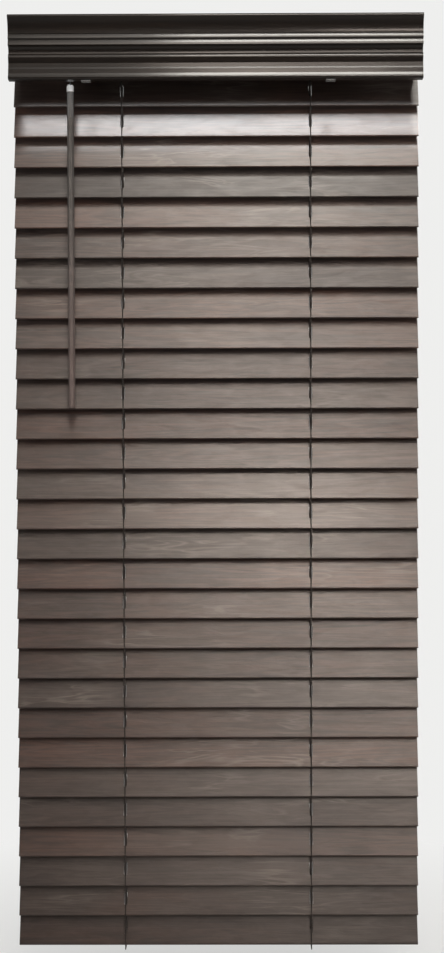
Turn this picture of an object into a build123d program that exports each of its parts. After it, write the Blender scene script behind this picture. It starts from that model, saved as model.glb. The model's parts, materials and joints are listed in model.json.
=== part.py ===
from build123d import *

import math
import os

# A wooden venetian blind with 50 mm slats, hung by its headrail and stored with its slats closed.
# Millimetres, +Z up, X along the slats, the room on the -Y side.
# The origin is the middle of the four mounting screws, on the plane that the brackets hang from.

# Slats
slat_count = 28
slat_length = 596.0
slat_width = 50.0
slat_thickness = 3.0
slat_pitch = 44.5
first_slat_drop = 97.0
closed_angle = 72.0
route_slot_length = 20.0
route_slot_width = 5.0

# Ladders and lift cords
ladder_end_distance = 154.0
ladder_cord_diameter = 1.5
ladder_clearance = 0.2
ladder_eye_wall = 0.7
ladder_eye_thickness = 1.9
lift_cord_diameter = 2.2
lift_cord_bend = 4.0
lift_knot_diameter = 4.4
lift_knot_length = 4.0

# Bottom rail
rail_width = 50.0
rail_thickness = 15.0
rail_corner_radius = 3.0
cord_clearance = 0.4
button_stem_clearance = 0.1
button_flange_diameter = 13.0
button_flange_thickness = 1.6

# Headrail
headrail_length = 586.0
headrail_height = 56.0
headrail_wall = 1.0
headrail_lip = 5.0
eye_wall_clearance = 0.5
rocker_slot_width = 9.0
rocker_slot_clearance = 0.5
stem_hole_diameter = 10.0

# Brackets
bracket_length = 34.0
bracket_wall = 1.2
bracket_clearance = 0.3
bracket_corner_radius = 4.0
screw_hole_diameter = 4.5
screw_row_spacing = 32.0
screw_end_distance = 17.0
gate_catch_depth = 9.0

# Valance and its clips
valance_length = 594.5
valance_height = 91.5
valance_crown = 20.0
valance_headroom = 3.3
valance_standoff = 22.0
clip_width = 13.5
clip_thickness = 1.6
clip_foot_depth = 10.0
clip_hook_drop = 4.0
clip_seat = 0.1
left_clip_end_distance = 111.0
right_clip_end_distance = 132.0

# Tilt rod, cradles and rockers
rod_drop = 34.0
rod_across_flats = 6.0
rod_overhang = 6.0
running_clearance = 0.06
cradle_length = 30.0
cradle_wall = 2.5
cradle_top_margin = 6.0
cradle_side_clearance = 0.2
rocker_hub_diameter = 11.0
rocker_hub_overhang = 1.5
rocker_arm_width = 4.4
rocker_prong = 1.5
rocker_pin_diameter = 1.4
rocker_fork_side_clearance = 0.2
rocker_fork_depth = 11.0
cord_roller_length = 4.0
cord_roller_clearance = 0.2

# Tilter
tilter_end_distance = 81.0
tilter_width = 26.0
tilter_wall = 2.5
tilter_height = 38.0
tilter_front_margin = 1.5
tilter_back_depth = 15.0
tilter_floor_depth = 10.0
tilter_corner_radius = 2.0
gear_teeth = 14
gear_tip_diameter = 17.4
gear_tooth_height = 1.9
gear_tooth_tip = 1.1
gear_tooth_foot = 2.6
gear_width = 11.0
gear_hub_diameter = 10.0
worm_lean = 25.0
worm_diameter = 6.0
worm_length = 18.0
worm_mesh_gap = 0.3
stem_diameter = 5.0
stem_neck_diameter = 2.4
stem_neck_length = 9.0
stem_ball_diameter = 7.0

# Wand
wand_standoff = 33.0
wand_ball_clearance = 0.2
hook_strip_thickness = 1.2
hook_strip_width = 1.6
hook_shank_diameter = 2.4
hook_ring_diameter = 8.4
hook_shank_depth = 7.0
wand_top_drop = 95.0
wand_cap_length = 9.4
wand_cap_diameter = 10.4
wand_cap_bevel = 1.2
wand_sleeve_length = 38.0
wand_sleeve_diameter = 9.8
wand_sleeve_groove = 0.5
wand_sleeve_groove_drop = 17.0
wand_length = 469.0
wand_rod_width = 9.6
wand_spigot_diameter = 5.0
wand_spigot_length = 16.0
wand_end_bevel = 0.8

# Lift spring case
spring_case_length = 120.0
spring_case_side_clearance = 1.0
spring_case_height = 40.0
spring_case_bevel = 3.0
rod_groove_width = 10.0

# Every cut runs this far past the faces that it opens
overrun = 2.0

# Outline of the valance from its top front edge down: share of the height, share of the crown's reach,
# and how far the stretch that ends there bulges, as a share of its length
valance_outline_shares = [
    (0.000, 0.880, 0.00),
    (0.045, 1.000, 0.20),
    (0.288, 0.680, -0.09),
    (0.295, 0.640, 0.00),
    (0.358, 0.735, 0.03),
    (0.386, 0.610, 0.00),
    (0.462, 0.720, 0.03),
    (0.476, 0.600, 0.00),
    (0.585, 0.400, -0.18),
    (0.660, 0.580, 0.14),
    (0.740, 0.480, 0.00),
    (0.805, 0.515, 0.00),
    (0.830, 0.560, 0.00),
    (0.902, 0.595, 0.00),
    (0.942, 0.655, 0.00),
    (1.000, 0.550, 0.30),
]

# Places that several pieces share
lean_cos = math.cos(math.radians(closed_angle))
lean_sin = math.sin(math.radians(closed_angle))
lean_tan = math.tan(math.radians(closed_angle))
ladder_x = headrail_length / 2 - ladder_end_distance
edge_radius = slat_thickness / 2
string_radius = ladder_cord_diameter / 2
lift_cord_radius = lift_cord_diameter / 2
closed_edge_reach = (slat_width / 2 - edge_radius) * lean_cos + edge_radius
ladder_reach = (closed_edge_reach + ladder_clearance + string_radius) / lean_cos
rail_drop = first_slat_drop + slat_count * slat_pitch
rail_length = slat_length
rail_face_rise = slat_thickness / 2
knot_chamber_radius = lift_knot_diameter / 2 + cord_clearance

rocker_pin_radius = rocker_pin_diameter / 2
eye_bore_radius = rocker_pin_radius + running_clearance
eye_radius = eye_bore_radius + ladder_eye_wall
fork_gap = ladder_eye_thickness + 2 * rocker_fork_side_clearance
rocker_thickness = fork_gap + 2 * rocker_prong

tilter_offset = headrail_length / 2 - tilter_end_distance
rocker_tip_radius = max(eye_radius, rocker_arm_width / 2)
headrail_inner_half = ladder_reach + rocker_tip_radius + eye_wall_clearance
headrail_half = headrail_inner_half + headrail_wall
headrail_top = -(bracket_wall + bracket_clearance)
headrail_bottom = headrail_top - headrail_height
headrail_floor = headrail_bottom + headrail_wall

cradle_top = headrail_top - cradle_top_margin
cradle_base_top = headrail_floor + cradle_wall
cord_roller_z = cradle_base_top + lift_cord_radius
lift_cord_z = cord_roller_z + lift_cord_bend
cord_hole_radius = lift_cord_radius + cord_clearance

arm_half_span = rocker_arm_width / 2 / lean_sin
rocker_slot_start = (-rod_drop - cradle_base_top) / lean_tan - arm_half_span - rocker_slot_clearance

valance_back = -(headrail_half + valance_standoff)
valance_top = -valance_headroom
valance_bottom = valance_top - valance_height

worm_cos = math.cos(math.radians(worm_lean))
worm_sin = math.sin(math.radians(worm_lean))
worm_distance = gear_tip_diameter / 2 + worm_mesh_gap + worm_diameter / 2
worm_y = -worm_distance * worm_cos
worm_z = -rod_drop + worm_distance * worm_sin
stem_reach = (wand_standoff + worm_y) / worm_sin
ball_z = worm_z - stem_reach * worm_cos
stem_floor_y = worm_y - (worm_z - headrail_floor + headrail_wall / 2) * worm_sin / worm_cos
wand_top = -wand_top_drop
wand_sleeve_top = wand_top - wand_cap_length
wand_rod_top = wand_sleeve_top - wand_sleeve_length
wand_bottom = wand_top - wand_length


def write_piece(piece, name):
    """Label a finished piece and write it as its own file."""
    piece.part.label = name
    export_step(piece.part, f"parts/{name}.step")


def cross_plane(along, drop):
    """Plane across a closed slat: local x to its room edge, local y out of its upper face."""
    return Plane(origin=(along, 0, -drop), x_dir=(0, -lean_cos, -lean_sin), z_dir=(-1, 0, 0))


def face_plane(along, drop):
    """Plane in a closed slat's middle: local x along it, local z out of its upper face."""
    return Plane(origin=(along, 0, -drop), x_dir=(1, 0, 0), z_dir=(0, -lean_sin, lean_cos))


def block(x_span, y_span, z_span, mode=Mode.ADD):
    """Box between two places on each axis, for the part that is being built."""
    spans = (x_span, y_span, z_span)
    with Locations(tuple(sum(span) / 2 for span in spans)):
        Box(*(abs(span[1] - span[0]) for span in spans), mode=mode)


def make_slat(number):
    """One slat with rounded long edges and a slot for each lift cord."""
    drop = first_slat_drop + (number - 1) * slat_pitch
    with BuildPart() as slat:
        with BuildSketch(cross_plane(slat_length / 2, drop)):
            SlotOverall(slat_width, slat_thickness)
        extrude(amount=slat_length)
        with BuildSketch(face_plane(0, drop)):
            with Locations((-ladder_x, 0), (ladder_x, 0)):
                SlotOverall(route_slot_length, route_slot_width, rotation=90)
        extrude(amount=slat_thickness, both=True, mode=Mode.SUBTRACT)
    write_piece(slat, f"slat_{number:02d}")


def make_bottom_rail():
    """Thick rail whose upper face lies in the slats' row, with a blind slot and a chamber for each cord's knot."""
    middle = rail_face_rise - rail_thickness / 2
    with BuildPart() as rail:
        with BuildSketch(cross_plane(rail_length / 2, rail_drop)):
            with Locations((0, middle)):
                RectangleRounded(rail_width, rail_thickness, rail_corner_radius)
        extrude(amount=rail_length)
        with BuildSketch(face_plane(0, rail_drop).offset(rail_face_rise)):
            with Locations((-ladder_x, 0), (ladder_x, 0)):
                SlotOverall(route_slot_length, route_slot_width, rotation=90)
        extrude(amount=-(rail_face_rise + knot_chamber_radius), mode=Mode.SUBTRACT)
        with BuildSketch(face_plane(0, rail_drop).offset(-knot_chamber_radius)):
            with Locations((-ladder_x, 0), (ladder_x, 0)):
                Circle(knot_chamber_radius)
        extrude(amount=-rail_thickness, mode=Mode.SUBTRACT)
    write_piece(rail, "bottom_rail")


def make_rail_button(side, name):
    """Button that closes the knot chamber from below."""
    stem_radius = knot_chamber_radius - button_stem_clearance
    under_face = face_plane(side * ladder_x, rail_drop).offset(rail_face_rise - rail_thickness)
    with BuildPart() as button:
        with BuildSketch(under_face):
            Circle(button_flange_diameter / 2)
        extrude(amount=-button_flange_thickness)
        with BuildSketch(under_face):
            Circle(stem_radius)
        extrude(amount=rail_thickness - rail_face_rise - knot_chamber_radius)
    write_piece(button, name)


def make_headrail():
    """Steel channel, open on top, with lips and with slots for the rockers, the cords and the tilter."""
    slot_end = headrail_inner_half - eye_wall_clearance / 2
    slot_middle = (rocker_slot_start + slot_end) / 2
    with BuildPart() as rail:
        with BuildSketch(Plane.YZ.offset(-headrail_length / 2)):
            with Locations((0, headrail_top)):
                Rectangle(2 * headrail_half, headrail_height, align=(Align.CENTER, Align.MAX))
            with Locations((0, headrail_top - headrail_wall)):
                Rectangle(
                    2 * headrail_inner_half,
                    headrail_height - 2 * headrail_wall,
                    align=(Align.CENTER, Align.MAX),
                    mode=Mode.SUBTRACT,
                )
            with Locations((0, headrail_top)):
                Rectangle(2 * (headrail_half - headrail_lip), 2 * overrun, mode=Mode.SUBTRACT)
        extrude(amount=headrail_length)
        with BuildSketch(Plane.XY.offset(headrail_floor)):
            with GridLocations(2 * ladder_x, 2 * slot_middle, 2, 2):
                Rectangle(rocker_slot_width, slot_end - rocker_slot_start)
            with Locations((-ladder_x, 0), (ladder_x, 0)):
                Circle(cord_hole_radius)
            with Locations((-tilter_offset, stem_floor_y)):
                Circle(stem_hole_diameter / 2)
        extrude(amount=overrun, both=True, mode=Mode.SUBTRACT)
    write_piece(rail, "headrail")


def make_bracket(side, name):
    """Box bracket: top with two screw holes, back, floor and end, open to the front."""
    seat_half = headrail_half + bracket_clearance
    end = side * (headrail_length / 2 + bracket_clearance)
    outer_end = end + side * bracket_wall
    inner_end = outer_end - side * bracket_length
    floor = headrail_bottom - bracket_clearance
    with BuildPart() as bracket:
        block((inner_end, outer_end), (-seat_half, seat_half + bracket_wall), (floor - bracket_wall, 0))
        back_corners = bracket.edges().filter_by(Axis.X).group_by(Axis.Y)[-1]
        fillet(back_corners, bracket_corner_radius / 2)
        block(
            (inner_end - side * overrun, end),
            (-seat_half - overrun, seat_half),
            (floor, -bracket_wall),
            Mode.SUBTRACT,
        )
        with BuildSketch(Plane.XY):
            screw_x = side * (headrail_length / 2 - screw_end_distance)
            with Locations((screw_x, -screw_row_spacing / 2), (screw_x, screw_row_spacing / 2)):
                Circle(screw_hole_diameter / 2)
        extrude(amount=-(bracket_wall + bracket_clearance / 2), mode=Mode.SUBTRACT)
    write_piece(bracket, name)


def make_gate(side, name):
    """Front plate that closes a bracket, with a catch folded under the bracket's floor."""
    seat_half = headrail_half + bracket_clearance
    outer_end = side * (headrail_length / 2 + bracket_clearance + bracket_wall)
    inner_end = outer_end - side * bracket_length
    under = headrail_bottom - bracket_clearance - bracket_wall
    with BuildPart() as gate:
        block((inner_end, outer_end), (-seat_half - bracket_wall, -seat_half), (under - bracket_wall, 0))
        front_corners = gate.edges().filter_by(Axis.Y)
        fillet(front_corners, bracket_corner_radius)
        catch_inset = side * bracket_corner_radius
        block(
            (inner_end + catch_inset, outer_end - catch_inset),
            (-seat_half - bracket_wall, -seat_half + gate_catch_depth),
            (under - bracket_wall, under),
        )
    write_piece(gate, name)


def make_valance():
    """Crown moulding: the outline runs down the front and closes along the flat back."""
    front = [
        (valance_back - reach * valance_crown, valance_top - drop * valance_height)
        for drop, reach, bulge in valance_outline_shares
    ]
    bulges = [bulge for drop, reach, bulge in valance_outline_shares]
    with BuildPart() as valance:
        with BuildSketch(Plane.YZ.offset(-valance_length / 2)):
            with BuildLine():
                for start, end, bulge in zip(front, front[1:], bulges[1:]):
                    if bulge:
                        SagittaArc(start, end, -bulge * math.dist(start, end))
                    else:
                        Line(start, end)
                Polyline(front[-1], (valance_back, valance_bottom), (valance_back, valance_top), front[0])
            make_face()
        extrude(amount=valance_length)
    write_piece(valance, "valance")


def make_valance_clip(along, name):
    """Strip that hooks over the headrail's front lip, lies down the valance's back and holds it from below."""
    lip_edge = -(headrail_half - headrail_lip)
    strip_top = headrail_top + clip_seat + clip_thickness / 2
    strip_front = valance_back + clip_seat
    foot_top = valance_bottom - clip_seat
    hook_back = lip_edge + clip_seat + clip_thickness / 2
    with BuildPart() as clip:
        with BuildSketch(Plane.YZ.offset(along - clip_width / 2)):
            with BuildLine():
                Polyline(
                    (strip_front, strip_top),
                    (hook_back, strip_top),
                    (hook_back, headrail_top - clip_hook_drop),
                    (lip_edge + clip_seat, headrail_top - clip_hook_drop),
                    (lip_edge + clip_seat, headrail_top + clip_seat),
                    (strip_front + clip_thickness, headrail_top + clip_seat),
                    (strip_front + clip_thickness, foot_top - clip_thickness),
                    (strip_front - clip_foot_depth, foot_top - clip_thickness),
                    (strip_front - clip_foot_depth, foot_top),
                    (strip_front, foot_top),
                    close=True,
                )
            make_face()
        extrude(amount=clip_width)
    write_piece(clip, name)


def make_tilt_rod():
    """Hexagonal rod from the tilter to the far cradle."""
    start = -tilter_offset - tilter_width / 2 - rod_overhang
    end = ladder_x + cradle_length / 2 + rod_overhang
    with BuildPart() as rod:
        with BuildSketch(Plane.YZ.offset(start)):
            with Locations((0, -rod_drop)):
                RegularPolygon(rod_across_flats / 2, 6, major_radius=False)
        extrude(amount=end - start)
    write_piece(rod, "tilt_rod")


def make_cradle(side, name):
    """Moulded stand in the headrail: two walls with open saddles, a slotted base and a rounded cord guide."""
    along = side * ladder_x
    half_length = cradle_length / 2
    half_width = headrail_inner_half - cradle_side_clearance
    saddle_radius = rocker_hub_diameter / 2 + running_clearance
    slot_end = half_width + overrun
    roller_x = along - side * lift_cord_bend
    roller_radius = lift_cord_bend - lift_cord_radius - cord_roller_clearance
    with BuildPart() as cradle:
        block((along - half_length, along + half_length), (-half_width, half_width), (headrail_floor, cradle_top))
        block(
            (along - half_length + cradle_wall, along + half_length - cradle_wall),
            (-half_width - overrun, half_width + overrun),
            (cradle_base_top, cradle_top + overrun),
            Mode.SUBTRACT,
        )
        with BuildSketch(Plane.YZ.offset(along - half_length - overrun)):
            with Locations((0, -rod_drop)):
                Circle(saddle_radius)
                saddle_depth = rod_drop + cradle_top + overrun
                Rectangle(2 * saddle_radius, saddle_depth, align=(Align.CENTER, Align.MIN))
            with Locations((0, lift_cord_z)):
                Circle(cord_hole_radius)
        extrude(amount=cradle_length + 2 * overrun, mode=Mode.SUBTRACT)
        with BuildSketch(Plane.XZ.offset(-cord_roller_length / 2)):
            with Locations((roller_x, cord_roller_z)):
                Circle(roller_radius)
            with Locations((roller_x, cord_roller_z)):
                Rectangle(2 * roller_radius, cord_roller_z - headrail_floor, align=(Align.CENTER, Align.MAX))
        extrude(amount=cord_roller_length)
        with BuildSketch(Plane.XY.offset(headrail_floor - overrun)):
            with GridLocations(2 * ladder_x, rocker_slot_start + slot_end, 2, 2):
                Rectangle(rocker_slot_width, slot_end - rocker_slot_start)
            with Locations((along, 0)):
                Circle(cord_hole_radius)
        extrude(amount=cradle_wall + 2 * overrun, mode=Mode.SUBTRACT)
    write_piece(cradle, name)


def make_rocker(side, name):
    """Hub on the tilt rod with an arm to the front and one to the back, each with a forked tip and a pin."""
    along = side * ladder_x
    hub_half = cradle_length / 2 + rocker_hub_overhang
    arm = cross_plane(along, rod_drop)
    with BuildPart() as rocker:
        with BuildSketch(arm):
            SlotCenterToCenter(2 * ladder_reach, rocker_arm_width)
        extrude(amount=rocker_thickness / 2, both=True)
        with BuildSketch(arm):
            with Locations((-ladder_reach, 0), (ladder_reach, 0)):
                Rectangle(2 * rocker_fork_depth, rocker_arm_width + overrun)
        extrude(amount=fork_gap / 2, both=True, mode=Mode.SUBTRACT)
        with BuildSketch(arm):
            with Locations((-ladder_reach, 0), (ladder_reach, 0)):
                Circle(rocker_pin_radius)
        extrude(amount=rocker_thickness / 2, both=True)
        with BuildSketch(arm):
            Circle(rocker_hub_diameter / 2)
        extrude(amount=hub_half, both=True)
        with BuildSketch(Plane.YZ.offset(along)):
            with Locations((0, -rod_drop)):
                RegularPolygon(rod_across_flats / 2, 6, major_radius=False)
        extrude(amount=hub_half + overrun, both=True, mode=Mode.SUBTRACT)
    write_piece(rocker, name)


def make_ladder_string(side, facing, name):
    """Ladder string with an eye round its rocker's pin, down to the level of the bottom rail's edge."""
    along = side * ladder_x
    string_y = facing * ladder_reach * lean_cos
    edge_rise = facing * ladder_reach * lean_sin
    eye_z = edge_rise - rod_drop
    with BuildPart() as string:
        with BuildSketch(Plane.YZ.offset(along)):
            with Locations((string_y, eye_z)):
                Circle(eye_radius)
        extrude(amount=ladder_eye_thickness / 2, both=True)
        with BuildSketch(Plane.XY.offset(eye_z)):
            with Locations((along, string_y)):
                Circle(string_radius)
        extrude(amount=edge_rise - rail_drop - eye_z)
        with BuildSketch(Plane.YZ.offset(along)):
            with Locations((string_y, eye_z)):
                Circle(eye_bore_radius)
        extrude(amount=ladder_eye_thickness, both=True, mode=Mode.SUBTRACT)
    write_piece(string, name)


def make_lift_cord(side, name):
    """Lift cord from the spring case, over the cradle's guide and down through the slats to its knot."""
    start = (side * spring_case_length / 2, 0, lift_cord_z)
    bend_start = (side * (ladder_x - lift_cord_bend), 0, lift_cord_z)
    bend_end = (side * ladder_x, 0, lift_cord_z - lift_cord_bend)
    knot = (side * ladder_x, 0, -rail_drop)
    with BuildPart() as cord:
        with BuildLine() as route:
            Line(start, bend_start)
            TangentArc(bend_start, bend_end, tangent=(side, 0, 0))
            Line(bend_end, knot)
        with BuildSketch(Plane(origin=start, z_dir=(side, 0, 0))):
            Circle(lift_cord_radius)
        sweep(path=route.line)
        with Locations(knot):
            Cylinder(lift_knot_diameter / 2, lift_knot_length, rotation=(0, 90, 0))
    write_piece(cord, name)


def make_spring_case():
    """Case of the lift spring, with a groove on top for the tilt rod."""
    half_width = headrail_inner_half - spring_case_side_clearance
    groove_floor = -rod_drop - rod_groove_width / 2
    case_top = headrail_floor + spring_case_height
    with BuildPart() as case:
        with BuildSketch(Plane.YZ.offset(-spring_case_length / 2)):
            with Locations((0, headrail_floor)):
                Rectangle(2 * half_width, spring_case_height, align=(Align.CENTER, Align.MIN))
            with Locations((0, -rod_drop)):
                Circle(rod_groove_width / 2, mode=Mode.SUBTRACT)
            with Locations((0, -rod_drop)):
                Rectangle(
                    rod_groove_width,
                    case_top - groove_floor,
                    align=(Align.CENTER, Align.MIN),
                    mode=Mode.SUBTRACT,
                )
        extrude(amount=spring_case_length)
        chamfer(case.edges().filter_by(Axis.Z), spring_case_bevel)
    write_piece(case, "lift_spring_case")


def stem_plane(travel):
    """Plane across the tilter's stem, at a distance down it from the middle of the worm."""
    origin = (-tilter_offset, worm_y - travel * worm_sin, worm_z - travel * worm_cos)
    return Plane(origin=origin, x_dir=(1, 0, 0), z_dir=(0, -worm_sin, -worm_cos))


def make_tilter_housing():
    """Moulded case, open on top, with bearings for the gear's hub and for the leaning stem."""
    left = -tilter_offset - tilter_width / 2
    right = -tilter_offset + tilter_width / 2
    front = -headrail_inner_half + tilter_front_margin
    top = headrail_floor + tilter_height
    with BuildPart() as housing:
        block((left, right), (front, tilter_back_depth), (headrail_floor, top))
        fillet(housing.edges().filter_by(Axis.Z), tilter_corner_radius)
        block(
            (left + tilter_wall, right - tilter_wall),
            (front + tilter_wall, tilter_back_depth - tilter_wall),
            (headrail_floor + tilter_floor_depth, top + overrun),
            Mode.SUBTRACT,
        )
        with BuildSketch(Plane.YZ.offset(-tilter_offset)):
            with Locations((0, -rod_drop)):
                Circle(gear_hub_diameter / 2 + running_clearance)
                Rectangle(
                    gear_hub_diameter + 2 * running_clearance,
                    top + rod_drop + overrun,
                    align=(Align.CENTER, Align.MIN),
                )
        extrude(amount=tilter_width / 2 + overrun, both=True, mode=Mode.SUBTRACT)
        with BuildSketch(stem_plane(worm_length / 2)):
            Circle(stem_diameter / 2 + running_clearance)
        extrude(amount=stem_reach, mode=Mode.SUBTRACT)
    write_piece(housing, "tilter_housing")


def make_tilter_gear():
    """Toothed wheel on the tilt rod, with a hub that turns in the housing's walls."""
    root_radius = gear_tip_diameter / 2 - gear_tooth_height
    foot_sink = gear_tooth_height / 2
    tooth = [
        (-foot_sink, -gear_tooth_foot / 2),
        (0, -gear_tooth_foot / 2),
        (gear_tooth_height, -gear_tooth_tip / 2),
        (gear_tooth_height, gear_tooth_tip / 2),
        (0, gear_tooth_foot / 2),
        (-foot_sink, gear_tooth_foot / 2),
    ]
    with BuildPart() as gear:
        with BuildSketch(Plane.YZ.offset(-tilter_offset)):
            with Locations((0, -rod_drop)):
                Circle(root_radius)
                with PolarLocations(root_radius, gear_teeth):
                    Polygon(*tooth, align=None)
        extrude(amount=gear_width / 2, both=True)
        with BuildSketch(Plane.YZ.offset(-tilter_offset)):
            with Locations((0, -rod_drop)):
                Circle(gear_hub_diameter / 2)
        extrude(amount=tilter_width / 2, both=True)
        with BuildSketch(Plane.YZ.offset(-tilter_offset)):
            with Locations((0, -rod_drop)):
                RegularPolygon(rod_across_flats / 2, 6, major_radius=False)
        extrude(amount=tilter_width, both=True, mode=Mode.SUBTRACT)
    write_piece(gear, "tilter_gear")


def make_tilter_worm():
    """Worm with its stem, a thin neck and the ball that carries the wand's hook."""
    neck_start = stem_reach - stem_neck_length
    with BuildPart() as worm:
        with BuildSketch(stem_plane(-worm_length / 2)):
            Circle(worm_diameter / 2)
        extrude(amount=worm_length)
        with BuildSketch(stem_plane(worm_length / 2)):
            Circle(stem_diameter / 2)
        extrude(amount=neck_start - worm_length / 2)
        with BuildSketch(stem_plane(neck_start)):
            Circle(stem_neck_diameter / 2)
        extrude(amount=stem_neck_length)
        with Locations((-tilter_offset, -wand_standoff, ball_z)):
            Sphere(stem_ball_diameter / 2)
    write_piece(worm, "tilter_worm")


def make_wand_hook():
    """Ring that sits on the stem's ball, the strip stirrup under it and the shank that the wand turns on."""
    strip_half = hook_strip_thickness / 2
    ring_radius = hook_ring_diameter / 2
    ball_reach = stem_ball_diameter / 2 + wand_ball_clearance + strip_half * math.sqrt(2)
    ring_rise = math.sqrt(ball_reach**2 - ring_radius**2)
    stirrup = Plane(origin=(-tilter_offset, -wand_standoff, ball_z), x_dir=(1, 0, 0), z_dir=(0, -1, 0))
    with BuildPart() as hook:
        with BuildSketch(Plane.XY.offset(ball_z + ring_rise)):
            with Locations((-tilter_offset, -wand_standoff)):
                Circle(ring_radius + strip_half)
                Circle(ring_radius - strip_half, mode=Mode.SUBTRACT)
        extrude(amount=strip_half, both=True)
        with BuildSketch(stirrup):
            Circle(ball_reach + strip_half)
            Circle(ball_reach - strip_half, mode=Mode.SUBTRACT)
            with Locations((0, ring_rise)):
                Rectangle(
                    2 * (ball_reach + hook_strip_thickness),
                    2 * ball_reach,
                    align=(Align.CENTER, Align.MIN),
                    mode=Mode.SUBTRACT,
                )
        extrude(amount=hook_strip_width / 2, both=True)
        with BuildSketch(Plane.XY.offset(ball_z - ball_reach)):
            with Locations((-tilter_offset, -wand_standoff)):
                Circle(hook_shank_diameter / 2)
        extrude(amount=-(ball_z - ball_reach - wand_top + hook_shank_depth))
    write_piece(hook, "wand_hook")


def make_wand_cap():
    """Pale collar at the top of the wand, bored for the hook's shank."""
    with BuildPart() as cap:
        with BuildSketch(Plane.XY.offset(wand_top)):
            with Locations((-tilter_offset, -wand_standoff)):
                Circle(wand_cap_diameter / 2)
        extrude(amount=-wand_cap_length)
        chamfer(cap.faces().sort_by(Axis.Z)[-1].edges(), wand_cap_bevel)
        with BuildSketch(Plane.XY.offset(wand_top)):
            with Locations((-tilter_offset, -wand_standoff)):
                Circle(hook_shank_diameter / 2 + running_clearance)
        extrude(amount=-(hook_shank_depth + cord_clearance), mode=Mode.SUBTRACT)
    write_piece(cap, "wand_cap")


def make_wand_sleeve():
    """Sleeve under the collar, with one groove round it and a socket for the rod."""
    axis = Plane(origin=(-tilter_offset, -wand_standoff, wand_sleeve_top), x_dir=(1, 0, 0), z_dir=(0, -1, 0))
    outer = wand_sleeve_diameter / 2
    groove = wand_sleeve_groove_drop
    socket = wand_spigot_diameter / 2
    with BuildPart() as sleeve:
        with BuildSketch(axis) as outline:
            with BuildLine():
                Polyline(
                    (0, 0),
                    (outer, 0),
                    (outer, wand_sleeve_groove - groove),
                    (outer - wand_sleeve_groove, -groove),
                    (outer, -groove - wand_sleeve_groove),
                    (outer, -wand_sleeve_length),
                    (socket, -wand_sleeve_length),
                    (socket, wand_spigot_length - wand_sleeve_length),
                    (0, wand_spigot_length - wand_sleeve_length),
                    close=True,
                )
            make_face()
        revolve(axis=Axis((-tilter_offset, -wand_standoff, 0), (0, 0, 1)))
    write_piece(sleeve, "wand_sleeve")


def make_wand_rod():
    """Six-sided rod with a round spigot in the sleeve and a bevelled lower end."""
    with BuildPart() as rod:
        with BuildSketch(Plane.XY.offset(wand_rod_top)):
            with Locations((-tilter_offset, -wand_standoff)):
                RegularPolygon(wand_rod_width / 2, 6)
        extrude(amount=wand_bottom - wand_rod_top)
        chamfer(rod.faces().sort_by(Axis.Z)[0].edges(), wand_end_bevel)
        with BuildSketch(Plane.XY.offset(wand_rod_top)):
            with Locations((-tilter_offset, -wand_standoff)):
                Circle(wand_spigot_diameter / 2)
        extrude(amount=wand_spigot_length)
    write_piece(rod, "wand_rod")


os.makedirs("parts", exist_ok=True)

for slat_number in range(1, slat_count + 1):
    make_slat(slat_number)
make_bottom_rail()
make_headrail()
make_valance()
make_valance_clip(left_clip_end_distance - valance_length / 2, "left_valance_clip")
make_valance_clip(valance_length / 2 - right_clip_end_distance, "right_valance_clip")
make_tilt_rod()
make_spring_case()
make_tilter_housing()
make_tilter_gear()
make_tilter_worm()
make_wand_hook()
make_wand_cap()
make_wand_sleeve()
make_wand_rod()
for hand, end_side in (("left", -1), ("right", 1)):
    make_rail_button(end_side, f"{hand}_rail_button")
    make_bracket(end_side, f"{hand}_bracket")
    make_gate(end_side, f"{hand}_bracket_gate")
    make_cradle(end_side, f"{hand}_cradle")
    make_rocker(end_side, f"{hand}_rocker")
    make_lift_cord(end_side, f"{hand}_lift_cord")
    make_ladder_string(end_side, -1, f"{hand}_front_ladder_string")
    make_ladder_string(end_side, 1, f"{hand}_back_ladder_string")
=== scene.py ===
import json
import math

import bpy
from mathutils import Matrix, Vector

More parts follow.
